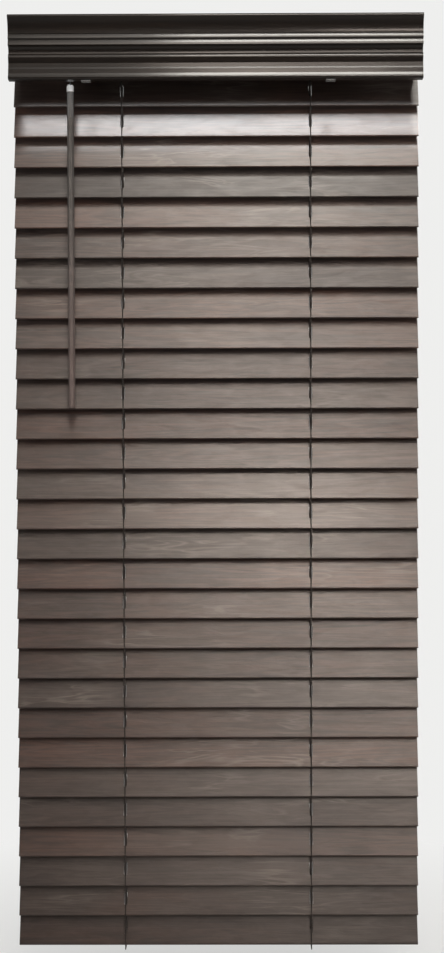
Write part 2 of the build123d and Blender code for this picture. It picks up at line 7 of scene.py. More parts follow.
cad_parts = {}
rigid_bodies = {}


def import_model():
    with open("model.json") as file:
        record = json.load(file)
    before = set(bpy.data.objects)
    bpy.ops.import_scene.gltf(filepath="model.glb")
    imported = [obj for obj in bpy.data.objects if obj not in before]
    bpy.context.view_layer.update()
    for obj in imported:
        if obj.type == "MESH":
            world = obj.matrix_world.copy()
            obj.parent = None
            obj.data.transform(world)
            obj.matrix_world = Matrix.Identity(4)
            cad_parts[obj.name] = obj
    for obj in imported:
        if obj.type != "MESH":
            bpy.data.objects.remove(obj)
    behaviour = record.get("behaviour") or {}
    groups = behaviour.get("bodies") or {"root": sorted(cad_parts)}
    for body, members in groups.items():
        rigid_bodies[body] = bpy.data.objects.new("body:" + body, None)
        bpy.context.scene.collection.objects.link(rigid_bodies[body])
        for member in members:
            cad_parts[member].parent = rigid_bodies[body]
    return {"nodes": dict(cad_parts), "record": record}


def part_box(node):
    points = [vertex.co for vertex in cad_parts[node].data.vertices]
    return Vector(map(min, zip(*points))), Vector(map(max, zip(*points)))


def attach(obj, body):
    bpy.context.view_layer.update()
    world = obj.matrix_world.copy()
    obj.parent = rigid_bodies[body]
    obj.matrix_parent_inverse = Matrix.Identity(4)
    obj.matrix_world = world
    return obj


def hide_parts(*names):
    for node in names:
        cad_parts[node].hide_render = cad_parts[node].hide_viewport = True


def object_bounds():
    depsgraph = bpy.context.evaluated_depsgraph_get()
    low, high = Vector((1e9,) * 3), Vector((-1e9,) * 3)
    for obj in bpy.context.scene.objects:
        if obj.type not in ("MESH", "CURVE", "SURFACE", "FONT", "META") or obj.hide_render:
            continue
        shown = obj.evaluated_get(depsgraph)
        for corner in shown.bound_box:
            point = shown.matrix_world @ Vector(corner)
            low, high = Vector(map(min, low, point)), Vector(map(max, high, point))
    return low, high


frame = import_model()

bl_info = {
    "name": "Wooden Venetian Blind",
    "version": (1, 0, 0),
    "blender": (4, 5, 0),
    "location": "3D View > Sidebar > Blind",
    "description": "Stains, cords, hardware finishes and studio for a wooden venetian blind",
    "category": "Object",
}

# What the frame says about the blind, in metres
cad_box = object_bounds()
nodes = frame["nodes"]
sides = ("left", "right")
joint_named = {joint["name"]: joint for joint in frame["record"]["behaviour"]["joints"]}
slat_names = sorted(name for name in nodes if name.startswith("slat_"))
closed_lean = math.radians(joint_named["slat_01_tilt"]["range_deg"][1] / 2)
first_axis = Vector(joint_named["slat_01_tilt"]["pos_m"])
second_axis = Vector(joint_named["slat_02_tilt"]["pos_m"])
rail_axis = Vector(joint_named["bottom_rail_tilt"]["pos_m"])
slat_pitch = (first_axis - second_axis).length
string_reach = -joint_named["front_ladder_turn"]["pos_m"][1] / math.cos(closed_lean)
ladder_xs = [sum(corner[0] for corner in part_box(f"{side}_front_ladder_string")) / 2 for side in sides]
slat_half_thickness = 0.0015

# A closed slat's own directions: to its room edge, and out of its upper face
to_room_edge = Vector((0, -math.cos(closed_lean), -math.sin(closed_lean)))
out_of_face = Vector((0, -math.sin(closed_lean), math.cos(closed_lean)))

# Added to a slat's number before its chance is drawn, and how far the patterns move on from slat to slat
tone_seed = 0.37
hue_seed = 40.61
drift_seed = 90.13
drift_reach = 7

# How the slats' patterns mix
streak_shift = 9
ring_count = 34
streak_share = 0.50
ring_share = 0.16
cloud_share = 0.6
grain_cut = 0.13
# Middle and width of the curls of the painted glints, pale wavy marks that stand in for highlights on the
# lacquer
curl_middle = 0.56
curl_width = 0.07
pore_share = 0.55
# Share of the painted glints in the slats' colour
painted_glint_share = 0.2

# Repeats of the fine patterns in each metre
slat_pores = 2600
valance_streaks = 420
valance_pores = 2300
wand_streaks = 700
yarn_repeats = 5200
fuzz_repeats = 1800
plastic_grain = 2200
plastic_clouds = 45
enamel_peel = 700
enamel_dust = 28
drawing_lines = 2400
zinc_clouds = 60

# Depth of the reliefs, in metres
slat_relief = 0.00012
valance_relief = 0.0001
wand_relief = 0.0002
braid_relief = 0.0002
plastic_relief = 0.00004
enamel_relief = 0.00005
zinc_relief = 0.00003

# A rung as shares of the strings' reach and of its own diameter
rung_edge_share = 0.83
rung_flat_share = 0.67
rung_bow_share = 1.1
rung_seat_share = 0.6
rung_side_shares = (0.75, 1.85)
stitch_stretch_share = 1.35

# A tail's way round the bottom rail, from the string inwards: metres to the room edge and off the upper face
tail_steps = (
    (string_reach, 0.0), (string_reach - 0.0018, -0.0060), (0.0270, -0.0150),
    (0.0215, -0.0146), (0.0130, -0.0143), (0.0050, -0.0143),
)

# A lift cord's bend and knot in diameters, and where it passes a slat's slot as shares of the pitch
lift_bend_share = 4
slot_top_share = 0.2
slot_bottom_share = 0.25
lift_knot_share = 2

# Colours of the wand and the zinc
wand_dark = (0.075, 0.069, 0.065)
wand_pale = (0.165, 0.155, 0.147)
wand_rubbed = (0.23, 0.20, 0.185)
wand_lower_tint = (0.185, 0.135, 0.125)
zinc_dull = (0.46, 0.46, 0.47)
zinc_bright = (0.68, 0.68, 0.68)

# The floor's glow: where the blind's shadow ends, in metres from its foot, and the share left in the shadow
shadow_inner = 0.2
shadow_outer = 1.0
shadow_glow_share = 0.6

# Long side of the camera's film, in millimetres
film_side = 36

# Lamps of the studio, in metres and degrees
lit_middle = (0, 0, -0.65)
panel_y = -2.5
side_fill = {"x": 3.2, "y": -1.9, "z": 0.1, "size": (0.8, 1.2)}
back_fill = {"place": (0, 3.2, 0.6), "size": (3.0, 2.0), "share": 2}
key_lamp = {"place": (0.7, -3.0, 0.55), "aim": (0.2, 0, -0.65), "size": (0.7, 0.2), "spread": 42}
sky_panel = {"x": 0.32, "z": 3.1, "size": (1.04, 0.9), "colour": (1, 0.97, 0.9)}
cove_strip = {
    "place": (0.02, -0.0557, -0.0932), "way": (0, 0.673, -0.74), "size": (0.62, 0.0294), "spread": 24,
}
# Name: span in x, span in z and share of the sheen power
sheen_panels = {
    "left_sheen": ((-0.75, -0.2), (1.6, 2.65), 0.5),
    "middle_sheen": ((-0.2, 0.15), (1.15, 2.65), 2.2),
    "right_sheen": ((0.15, 0.8), (1.15, 2.65), 1),
}
# Name: x and z of the beam, x and z that it aims at, size, share of the beam power and spread
narrow_beams = {
    "upper_beam": ((0.22, 0.95), (0.1, -0.8), (0.6, 0.3), 1, 28),
    "lower_beam": ((0.15, -0.15), (0.07, -1.15), (0.7, 0.9), 0.45, 34),
    "right_beam": ((0.8, -0.15), (0.3, -1.15), (0.6, 0.9), 0.45, 34),
}


class BlindWood(bpy.types.PropertyGroup):
    """Stain, painted glints and sheen of the wooden pieces."""

    stain_deep: bpy.props.FloatVectorProperty(
        name="Deep Stain", description="Colour in the dark grain of the slats", subtype="COLOR",
        default=(0.022, 0.011, 0.008), min=0, max=1)
    stain_warm: bpy.props.FloatVectorProperty(
        name="Warm Stain", description="Reddish colour of the freshly stained slats", subtype="COLOR",
        default=(0.105, 0.047, 0.030), min=0, max=1)
    stain_grey: bpy.props.FloatVectorProperty(
        name="Grey Stain", description="Greyer colour that some slats have", subtype="COLOR",
        default=(0.064, 0.047, 0.038), min=0, max=1)
    # Colour of the painted glints: pale wavy curls that stand in for highlights on the slats' lacquer
    painted_glint_colour: bpy.props.FloatVectorProperty(
        name="Painted Glints", description="Colour of the few pale curls in the slats' figure",
        subtype="COLOR", default=(0.34, 0.29, 0.25), min=0, max=1)
    valance_deep: bpy.props.FloatVectorProperty(
        name="Valance Deep", description="Dark grain of the valance", subtype="COLOR",
        default=(0.006, 0.004, 0.003), min=0, max=1)
    valance_warm: bpy.props.FloatVectorProperty(
        name="Valance Warm", description="Lighter grain of the valance", subtype="COLOR",
        default=(0.020, 0.013, 0.009), min=0, max=1)
    grain_width: bpy.props.FloatProperty(
        name="Grain Width", description="Width of one streak across the slat", default=0.0016,
        min=0.0002, max=0.02, unit="LENGTH")
    grain_length: bpy.props.FloatProperty(
        name="Grain Length", description="Length of one streak along the slat", default=0.085,
        min=0.005, max=0.5, unit="LENGTH")
    satin_roughness: bpy.props.FloatProperty(
        name="Satin Roughness", description="Roughness of the slats' lacquer coat", default=0.29,
        min=0, max=1, subtype="FACTOR")
    gloss_roughness: bpy.props.FloatProperty(
        name="Gloss Roughness", description="Roughness of the valance's lacquer coat", default=0.13,
        min=0, max=1, subtype="FACTOR")


class BlindCords(bpy.types.PropertyGroup):
    """Sizes and colour of the ladder cords."""

    rung_diameter: bpy.props.FloatProperty(
        name="Rung Diameter", description="Thickness of a ladder rung", default=0.0013,
        min=0.0003, max=0.003, unit="LENGTH")
    cord_weave: bpy.props.FloatProperty(
        name="Cord Weave", description="How far the lift cord swings to the left and right of the rungs",
        default=0.0013, min=0, max=0.003, unit="LENGTH")
    knot_diameter: bpy.props.FloatProperty(
        name="Knot Diameter", description="Thickness of the stitch that ties a rung to its string",
        default=0.0024, min=0.001, max=0.006, unit="LENGTH")
    lift_diameter: bpy.props.FloatProperty(
        name="Lift Diameter", description="Thickness of a lift cord", default=0.0022,
        min=0.0008, max=0.004, unit="LENGTH")
    tail_diameter: bpy.props.FloatProperty(
        name="Tail Diameter", description="Thickness of the ladder tails under the bottom rail",
        default=0.0013, min=0.0005, max=0.003, unit="LENGTH")
    cord_colour: bpy.props.FloatVectorProperty(
        name="Cord Colour", description="Dyed yarn of the cords", subtype="COLOR",
        default=(0.030, 0.021, 0.017), min=0, max=1)


class BlindStudio(bpy.types.PropertyGroup):
    """Camera, lamps and the pale room."""

    camera_place: bpy.props.FloatVectorProperty(
        name="Camera Place", description="Where the camera stands", subtype="TRANSLATION",
        default=(0.0209, -2.2286, -0.6029), unit="LENGTH")
    camera_turn: bpy.props.FloatVectorProperty(
        name="Camera Turn", description="Pitch, roll and yaw away from looking straight at the blind",
        default=(math.radians(-1.624), math.radians(-0.173), math.radians(0.355)), unit="ROTATION")
    camera_lens: bpy.props.FloatProperty(
        name="Lens", description="Focal length on a 36 mm long side", default=56.60, min=10, max=300,
        unit="CAMERA")
    floor_gap: bpy.props.FloatProperty(
        name="Floor Gap", description="Height of the bottom rail over the floor", default=0.09,
        min=0, max=2, unit="LENGTH")
    room_depth: bpy.props.FloatProperty(
        name="Room Depth", description="Length of the pale floor from front to back", default=24,
        min=4, max=100, unit="LENGTH")
    room_colour: bpy.props.FloatVectorProperty(
        name="Room Colour", description="Pale paint of the floor and backdrop", subtype="COLOR",
        default=(0.86, 0.86, 0.85), min=0, max=1)
    fill_power: bpy.props.FloatProperty(
        name="Fill Power", description="Power of each lamp at the sides, and half that of the one behind",
        default=19, min=0, max=2000, unit="POWER")
    key_power: bpy.props.FloatProperty(
        name="Key Power", description="Power of the low wide lamp that draws the lines under the slats",
        default=0.65, min=0, max=100, unit="POWER")
    sheen_power: bpy.props.FloatProperty(
        name="Sheen Power", description="Power of each square metre of the panels that the slats mirror",
        default=12, min=0, max=200, unit="POWER")
    sky_power: bpy.props.FloatProperty(
        name="Sky Power", description="Power of the high panel over them", default=106, min=0, max=2000,
        unit="POWER")
    beam_power: bpy.props.FloatProperty(
        name="Beam Power", description="Power of the narrow beams between the panels", default=0.42, min=0,
        max=20, unit="POWER")
    cove_power: bpy.props.FloatProperty(
        name="Cove Power", description="Power of the strip behind the valance that slat 2 mirrors",
        default=0.040, min=0, max=2, unit="POWER")
    warm_light: bpy.props.FloatVectorProperty(
        name="Warm Light", description="Colour of the panels and beams", subtype="COLOR",
        default=(1, 0.87, 0.77), min=0, max=1)
    room_light: bpy.props.FloatProperty(
        name="Room Light", description="Strength of the light from all round", default=0.03, min=0, max=5)
    seen_room: bpy.props.FloatProperty(
        name="Seen Room", description="How bright the room shows behind the blind", default=0.83,
        min=0, max=1)
    mirrored_room: bpy.props.FloatProperty(
        name="Mirrored Room", description="How bright the room shows in glossy surfaces", default=0.02,
        min=0, max=1)


class Value:
    """A socket of a finish's nodes, so that shader maths reads as plain expressions."""

    def __init__(self, finish, socket):
        self.finish = finish
        self.socket = socket

    def maths(self, operation, *others):
        """Run a maths operation on this value and the others."""
        inputs = dict(enumerate((self, *others)))
        return self.finish.node("ShaderNodeMath", {"operation": operation}, inputs)

    def __add__(self, other):
        return self.maths("ADD", other)

    def __sub__(self, other):
        return self.maths("SUBTRACT", other)

    def __mul__(self, other):
        return self.maths("MULTIPLY", other)

    def __truediv__(self, other):
        return self.maths("DIVIDE", other)

    def clamped(self):
        return self.finish.node("ShaderNodeClamp", {}, {"Value": self})


class Finish:
    """A material, or the world, that is built node by node."""

    def __init__(self, name, world=None):
        self.material = world or bpy.data.materials.new(name)
        self.material.use_nodes = True
        self.tree = self.material.node_tree
        self.tree.nodes.clear()

    def node(self, kind, settings=None, inputs=None, output=0):
        """Add a node, apply its settings, fill or link its sockets and return one output."""
        node = self.tree.nodes.new(kind)
        for key, value in (settings or {}).items():
            setattr(node, key, value)
        for key, value in (inputs or {}).items():
            if isinstance(value, Value):
                self.tree.links.new(value.socket, node.inputs[key])
            else:
                node.inputs[key].default_value = value
        return Value(self, node.outputs[output]) if node.outputs else None

    def ray(self, kind):
        """1 where the light path is of a kind, else 0."""
        return self.node("ShaderNodeLightPath", {}, {}, f"Is {kind} Ray")

    def place(self):
        """The point on the piece, in metres in the blind's frame."""
        return self.node("ShaderNodeTexCoord", {}, {}, "Object")

    def along(self, point, direction):
        """How far a point lies along a direction."""
        settings = {"operation": "DOT_PRODUCT"}
        return self.node("ShaderNodeVectorMath", settings, {0: point, 1: tuple(direction)}, "Value")

    def point(self, x, y, z):
        return self.node("ShaderNodeCombineXYZ", {}, {"X": x, "Y": y, "Z": z})

    def noise(self, point, scale, detail=3, roughness=0.55, distortion=0):
        inputs = {"Vector": point, "Scale": scale, "Detail": detail, "Roughness": roughness}
        inputs["Distortion"] = distortion
        return self.node("ShaderNodeTexNoise", {}, inputs, "Fac")

    def chance(self, number):
        """A value from 0 to 1 that is fixed for each whole number."""
        return self.node("ShaderNodeTexWhiteNoise", {"noise_dimensions": "1D"}, {"W": number}, "Value")

    def spread(self, value, low, high, start=0, end=1):
        """Map a value's band from low to high onto start to end, held at both ends."""
        inputs = {"Value": value, "From Min": low, "From Max": high, "To Min": start, "To Max": end}
        return self.node("ShaderNodeMapRange", {"clamp": True}, inputs)

    def mix(self, factor, first, second):
        """Blend two colours."""
        settings = {"data_type": "RGBA", "blend_type": "MIX"}
        fill = [value if isinstance(value, Value) else (*value, 1) for value in (first, second)]
        return self.node("ShaderNodeMix", settings, {0: factor, 6: fill[0], 7: fill[1]}, 2)

    def bump(self, height, depth):
        return self.node("ShaderNodeBump", {}, {"Height": height, "Strength": 1, "Distance": depth})

    def surface(self, sockets):
        """Close the finish with a principled shader and return the material."""
        shader = self.node("ShaderNodeBsdfPrincipled", {}, sockets)
        self.node("ShaderNodeOutputMaterial", {}, {"Surface": shader})
        return self.material


def dress(material, *names):
    """Give CAD nodes a finish."""
    for name in names:
        nodes[name].material_slots[0].material = material


def on_both(part):
    """Names of a part's left and right node."""
    return [f"{side}_{part}" for side in sides]


def stained_slat(name, number=None):
    """Stained slat wood: long streaks, pores and broad figure, with a tone of its own for each slat, and a
    few pale wavy curls that are painted glints.
    """
    wood = bpy.context.scene.blind_wood
    finish = Finish(name)
    place = finish.place()
    length = finish.along(place, (1, 0, 0))
    across = finish.along(place, to_room_edge)
    depth = finish.along(place, out_of_face)
    if number is None:
        row = finish.along(place, -out_of_face / math.cos(closed_lean)) + first_axis.z
        number = (row / slat_pitch + 0.5).maths("FLOOR")
    tone = finish.chance(number + tone_seed)
    hue = finish.chance(number + hue_seed)
    drift = finish.chance(number + drift_seed) * drift_reach

    def pattern(repeats, shifts, layer, detail, roughness, distortion=0):
        """Noise with its repeats in each metre along and across the slat, moved on for each slat."""
        point = finish.point(
            length * repeats[0] + drift * shifts[0], across * repeats[1] + drift * shifts[1], layer)
        return finish.noise(point, 1, detail, roughness, distortion)

    streak_point = finish.point(
        length / wood.grain_length + drift * streak_shift,
        across / wood.grain_width + drift,
        depth / wood.grain_width)
    streaks = finish.noise(streak_point, 1, detail=4, roughness=0.6, distortion=0.3)
    pores = pattern((90, slat_pores), (1, 0), depth * slat_pores, detail=2, roughness=0.5)
    figure = pattern((3.2, 55), (5, 1), depth * 55, detail=3, roughness=0.5, distortion=1.4)
    rings = (figure * ring_count).maths("SINE") * 0.5 + 0.5
    cloud = pattern((5, 14), (3, 0), drift, detail=2, roughness=0.5)
    grain = (streaks * streak_share + rings * ring_share + cloud * cloud_share - grain_cut).clamped()
    mottle = pattern((26, 95), (1, 2), drift, detail=4, roughness=0.65, distortion=0.8)
    wave = pattern((7, 60), (4, 1), drift, detail=2, roughness=0.45, distortion=1.6)
    curl = (wave - curl_middle).maths("ABSOLUTE")
    patch = pattern((4, 9), (6, 1), drift * 2, detail=2, roughness=0.5, distortion=0.6)
    # Painted glints: a few pale wavy curls in the base colour stand in for highlights on the lacquer
    painted_glints = finish.spread(curl, curl_width, 0) * finish.spread(patch, 0.52, 0.66)
    shade = finish.mix(finish.spread(hue * 0.5 + patch, 0.50, 0.95), wood.stain_warm, wood.stain_grey)
    colour = finish.mix(finish.spread(grain, 0.30, 0.78), wood.stain_deep, shade)
    colour = finish.mix(finish.spread(pores, 0.60, 0.72) * pore_share, colour, wood.stain_deep)
    colour = finish.mix(painted_glints * painted_glint_share, colour, wood.painted_glint_colour)
    bright = finish.spread(tone * 0.5 + patch, 0.3, 1.1, 0.65, 1.3)
    colour = finish.node("ShaderNodeVectorMath", {"operation": "SCALE"}, {0: colour, "Scale": bright})
    return finish.surface({
        "Base Color": colour,
        "Roughness": finish.spread(grain, 0.2, 0.8, 0.60, 0.50),
        "Normal": finish.bump(streaks * 0.6 + pores * 0.4 + mottle * 4, slat_relief),
        "Specular IOR Level": 0.5,
        "Coat Weight": finish.spread(tone * 0.3 + mottle, 0.40, 0.82, 0.5, 1),
        "Coat Roughness": wood.satin_roughness,
    })


def stained_valance():
    """Deep brown moulding wood with streaks along its length and a glossy coat."""
    wood = bpy.context.scene.blind_wood
    finish = Finish("valance_stain")
    place = finish.place()
    length = finish.along(place, (1, 0, 0))
    rise = finish.along(place, (0, 0, 1))
    reach = finish.along(place, (0, 1, 0))
    streak_point = finish.point(length * 9, rise * valance_streaks, reach * valance_streaks)
    streaks = finish.noise(streak_point, 1, detail=4, roughness=0.6, distortion=0.3)
    pore_point = finish.point(length * 80, rise * valance_pores, reach * valance_pores)
    pores = finish.noise(pore_point, 1, detail=2, roughness=0.5)
    cloud = finish.noise(finish.point(length * 4, rise * 20, reach * 20), 1, detail=2, roughness=0.5)
    grain = (streaks * 0.7 + cloud * 0.4 - 0.05).clamped()
    colour = finish.mix(finish.spread(grain, 0.3, 0.75), wood.valance_deep, wood.valance_warm)
    colour = finish.mix(finish.spread(pores, 0.6, 0.72) * 0.5, colour, wood.valance_deep)
    return finish.surface({
        "Base Color": colour,
        "Roughness": finish.spread(grain, 0.2, 0.8, 0.46, 0.36),
        "Normal": finish.bump(streaks * 0.6 + pores * 0.4, valance_relief),
        "Specular IOR Level": 0.3,
        "Coat Weight": finish.spread(cloud, 0.3, 0.7, 0.40, 0.55),
        "Coat Roughness": wood.gloss_roughness,
    })


def stained_wand():
    """Grey brown wand with fine streaks along it, rubbed spots and a mauve-brown lower part."""
    finish = Finish("wand_stain")
    place = finish.place()
    rise = finish.along(place, (0, 0, 1))
    side = finish.along(place, (1, 0, 0))
    front = finish.along(place, (0, 1, 0))
    streak_point = finish.point(side * wand_streaks, front * wand_streaks, rise * 16)
    streaks = finish.noise(streak_point, 1, detail=4, roughness=0.6, distortion=0.4)
    blotches = finish.noise(finish.point(side * 60, front * 60, rise * 55), 1, detail=3, roughness=0.6)
    colour = finish.mix(finish.spread(streaks, 0.3, 0.7), wand_dark, wand_pale)
    colour = finish.mix(finish.spread(blotches, 0.52, 0.7) * 0.6, colour, wand_rubbed)
    # Mauve-brown towards the bottom of the wand
    lower_tint_mask = finish.spread(rise + blotches * 0.1, -0.20, -0.45) * 0.7
    colour = finish.mix(lower_tint_mask, colour, wand_lower_tint)
    return finish.surface({
        "Base Color": colour,
        "Roughness": finish.spread(blotches, 0.3, 0.7, 0.34, 0.5),
        "Normal": finish.bump(streaks * 0.6 + blotches * 0.4, wand_relief),
        "Coat Weight": 0.3,
        "Coat Roughness": 0.3,
    })


def braided_cord():
    """Dyed braid: two sets of yarns that cross round the cord, with painted shade in the grooves between
    them.
    """
    cords = bpy.context.scene.blind_cords
    finish = Finish("cord_braid")
    place = finish.place()
    rise = finish.along(place, (0, 0, 1))
    side = finish.along(place, (1, 0, 0)) + finish.along(place, (0, 1, 0))
    one = ((rise + side) * yarn_repeats).maths("SINE")
    other = ((rise - side) * yarn_repeats).maths("SINE")
    weave = one.maths("MAXIMUM", other) * 0.5 + 0.5
    fuzz = finish.noise(place, fuzz_repeats, detail=2, roughness=0.6)
    # Painted shade: near-black colour in the grooves between the yarns
    yarn_groove_shade = (0.008, 0.006, 0.005)
    colour = finish.mix((weave * 0.7 + fuzz * 0.5).clamped(), yarn_groove_shade, tuple(cords.cord_colour))
    return finish.surface({
        "Base Color": colour,
        "Roughness": finish.spread(fuzz, 0.3, 0.7, 0.72, 0.9),
        "Normal": finish.bump(weave, braid_relief),
        "Sheen Weight": 0.25,
        "Sheen Roughness": 0.4,
    })


def moulded(name, colour, roughness, speckle=0.06):
    """Moulded plastic with a fine grain and slightly uneven colour."""
    finish = Finish(name)
    place = finish.place()
    grain = finish.noise(place, plastic_grain, detail=2, roughness=0.5)
    cloud = finish.noise(place, plastic_clouds, detail=3, roughness=0.5)
    dark = tuple(part * (1 - 3 * speckle) for part in colour)
    shade = finish.mix(finish.spread(cloud * 0.7 + grain * 0.3, 0.3, 0.7), dark, colour)
    return finish.surface({
        "Base Color": shade,
        "Roughness": finish.spread(grain, 0.3, 0.7, roughness - 0.05, roughness + 0.08),
        "Normal": finish.bump(grain, plastic_relief),
    })


def enamelled(name, colour):
    """Baked enamel on steel: faint orange peel and thin dust."""
    finish = Finish(name)
    place = finish.place()
    peel = finish.noise(place, enamel_peel, detail=2, roughness=0.5)
    dust = finish.noise(place, enamel_dust, detail=4, roughness=0.6)
    pale = tuple(part * 0.8 + 0.03 for part in colour)
    shade = finish.mix(finish.spread(dust, 0.5, 0.8) * 0.6, colour, pale)
    return finish.surface({
        "Base Color": shade,
        "Roughness": finish.spread(dust, 0.35, 0.75, 0.30, 0.5),
        "Normal": finish.bump(peel, enamel_relief),
        "Coat Weight": 0.25,
        "Coat Roughness": 0.15,
    })


def zinc_plate():
    """Zinc plated steel with fine drawing lines along X and cloudy dulling."""
    finish = Finish("zinc_plate")
    place = finish.place()
    length = finish.along(place, (1, 0, 0))
    around = finish.along(place, (0, 1, 0))
    rise = finish.along(place, (0, 0, 1))
    line_point = finish.point(length * 25, around * drawing_lines, rise * drawing_lines)
    lines = finish.noise(line_point, 1, detail=2, roughness=0.5)
    cloud = finish.noise(place, zinc_clouds, detail=4, roughness=0.6)
    colour = finish.mix(finish.spread(cloud, 0.35, 0.7), zinc_dull, zinc_bright)
    return finish.surface({
        "Base Color": colour,
        "Metallic": 1,
        "Roughness": finish.spread(lines * 0.5 + cloud * 0.5, 0.3, 0.7, 0.24, 0.46),
        "Normal": finish.bump(lines, zinc_relief),
    })


def deselect_all():
    bpy.ops.object.select_all(action="DESELECT")


def on_face(axis_point, along, to_edge, off_face):
    """Row-frame point from a slat's own directions: along it, to its room edge, out of its upper face."""
    return axis_point + Vector((along, 0, 0)) + to_room_edge * to_edge + out_of_face * off_face


def weave_side(number):
    """Side of the ladder, -1 or 1, on which the lift cord passes a slat, counted from 0 at the top."""
    return 1 if number % 2 else -1


def smooth_curve(name, diameter, routes):
    """Round cords that follow the routes' points smoothly."""
    curve = bpy.data.curves.new(name, "CURVE")
    curve.dimensions = "3D"
    curve.bevel_depth = diameter / 2
    curve.bevel_resolution = 2
    curve.resolution_u = 6
    curve.use_fill_caps = True
    for route in routes:
        spline = curve.splines.new("NURBS")
        spline.points.add(len(route) - 1)
        for point, place in zip(spline.points, route):
            point.co = (*place, 1)
        spline.order_u = 3
        spline.use_endpoint_u = True
    cords = bpy.data.objects.new(name, curve)
    bpy.context.collection.objects.link(cords)
    return cords


def tied_cords(name, diameter, routes):
    """Smooth cords along the routes' points, made one mesh."""
    cords = smooth_curve(name, diameter, routes)
    deselect_all()
    cords.select_set(True)
    bpy.context.view_layer.objects.active = cords
    bpy.ops.object.convert(target="MESH")
    bpy.ops.object.shade_smooth()
    return bpy.context.view_layer.objects.active


def stitch_knots(places, diameter):
    """Small wrapped stitches at the places where rungs meet their strings."""
    knots = []
    for place in places:
        deselect_all()
        bpy.ops.mesh.primitive_uv_sphere_add(segments=10, ring_count=7, radius=diameter / 2, location=place)
        knot = bpy.context.active_object
        bpy.ops.object.mode_set(mode="EDIT")
        bpy.ops.transform.resize(value=(1, 1, stitch_stretch_share), center_override=place)
        bpy.ops.object.mode_set(mode="OBJECT")
        bpy.ops.object.transform_apply(location=True, rotation=True, scale=True)
        bpy.ops.object.shade_smooth()
        knots.append(knot)
    return knots


def joined(base, others):
    """Join meshes into the first one."""
    deselect_all()
    for other in others:
        other.select_set(True)
    base.select_set(True)
    bpy.context.view_layer.objects.active = base
    bpy.ops.object.join()
    return base


class BLIND_OT_stain_wood(bpy.types.Operator):
    """Stain the slats, the bottom rail, the valance and the wand"""

    bl_idname = "blind.stain_wood"
    bl_label = "Stain Wood"

    def execute(self, context):
        dress(stained_slat("slat_stain"), *slat_names)
        dress(stained_slat("rail_stain", len(slat_names)), "bottom_rail")
        dress(stained_valance(), "valance")
        dress(stained_wand(), "wand_rod")
        return {"FINISHED"}


class BLIND_OT_finish_hardware(bpy.types.Operator):
    """Finish the headrail, the brackets, the tilter and the plastic fittings"""

    bl_idname = "blind.finish_hardware"
    bl_label = "Finish Hardware"

    def execute(self, context):
        dress(enamelled("rail_enamel", (0.045, 0.032, 0.026)), "headrail")
        bracket_names = on_both("bracket") + on_both("bracket_gate")
        dress(enamelled("bracket_enamel", (0.035, 0.027, 0.023)), *bracket_names)
        dress(moulded("clip_plastic", (0.36, 0.37, 0.37), 0.24), *on_both("valance_clip"))
        dress(moulded("cradle_plastic", (0.72, 0.70, 0.64), 0.5), *on_both("cradle"))
        dress(moulded("rocker_plastic", (0.42, 0.41, 0.38), 0.45), "tilter_gear", *on_both("rocker"))
        dress(moulded("housing_plastic", (0.07, 0.066, 0.06), 0.42), "tilter_housing", "lift_spring_case")
        dress(moulded("button_plastic", (0.055, 0.034, 0.027), 0.4), *on_both("rail_button"))
        dress(moulded("cap_plastic", (0.84, 0.84, 0.83), 0.3, 0.03), "wand_cap")
        dress(moulded("sleeve_plastic", (0.15, 0.145, 0.14), 0.3, 0.12), "wand_sleeve")
        dress(zinc_plate(), "tilt_rod", "tilter_worm", "wand_hook")
        return {"FINISHED"}


class BLIND_OT_tie_rungs(bpy.types.Operator):
    """Tie two rungs under each slat between its ladder strings, and the tails under the bottom rail"""

    bl_idname = "blind.tie_rungs"
    bl_label = "Tie Rungs"

    def rung_routes(self, axis_point, side, cords):
        """Rungs from the front string, under the slat beside the lift cord and on to the back string."""
        under = slat_half_thickness + cords.rung_diameter * rung_seat_share
        edge = string_reach * rung_edge_share
        flat = string_reach * rung_flat_share
        steps = [(string_reach, 0, 0), (edge, 1, rung_bow_share), (flat, 1, 1), (0, 1, 1)]
        steps += [(-to_edge, spread, drop) for to_edge, spread, drop in reversed(steps[:-1])]
        offsets = [side * cords.rung_diameter * share for share in rung_side_shares]
        return [
            [on_face(axis_point, ladder_x + spread * offset, to_edge, -drop * under)
             for to_edge, spread, drop in steps]
            for ladder_x in ladder_xs for offset in offsets
        ]

    def tail_routes(self):
        """Ladder tails that go on from the strings, round the rail's edges and in under its buttons."""
        return [
            [on_face(rail_axis, ladder_x, facing * to_edge, off_face) for to_edge, off_face in tail_steps]
            for ladder_x in ladder_xs for facing in (-1, 1)
        ]

    def execute(self, context):
        cords = context.scene.blind_cords
        braid = braided_cord()
        dress(braid, *on_both("front_ladder_string"), *on_both("back_ladder_string"))
        models = {}
        for number, name in enumerate(slat_names):
            axis_point = Vector(joint_named[f"{name}_tilt"]["pos_m"])
            side = -weave_side(number)
            if side not in models:
                routes = self.rung_routes(axis_point, side, cords)
                rungs = tied_cords(f"{name}_rungs", cords.rung_diameter, routes)
                places = [
                    on_face(axis_point, ladder_x, facing * string_reach, 0)
                    for ladder_x in ladder_xs for facing in (-1, 1)
                ]
                rungs = joined(rungs, stitch_knots(places, cords.knot_diameter))
                rungs.data.materials.clear()
                rungs.data.materials.append(braid)
                models[side] = (rungs, axis_point)
            else:
                model, model_axis = models[side]
                rungs = model.copy()
                rungs.data = model.data.copy()
                rungs.name = f"{name}_rungs"
                rungs.data.transform(Matrix.Translation(axis_point - model_axis))
                context.collection.objects.link(rungs)
            rungs.data.name = rungs.name
        for name in slat_names:
            rungs = bpy.data.objects[f"{name}_rungs"]
            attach(rungs, name)
        tails = tied_cords("bottom_rail_tails", cords.tail_diameter, self.tail_routes())
        tails.data.materials.append(braid)
        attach(tails, "bottom_rail")
        return {"FINISHED"}


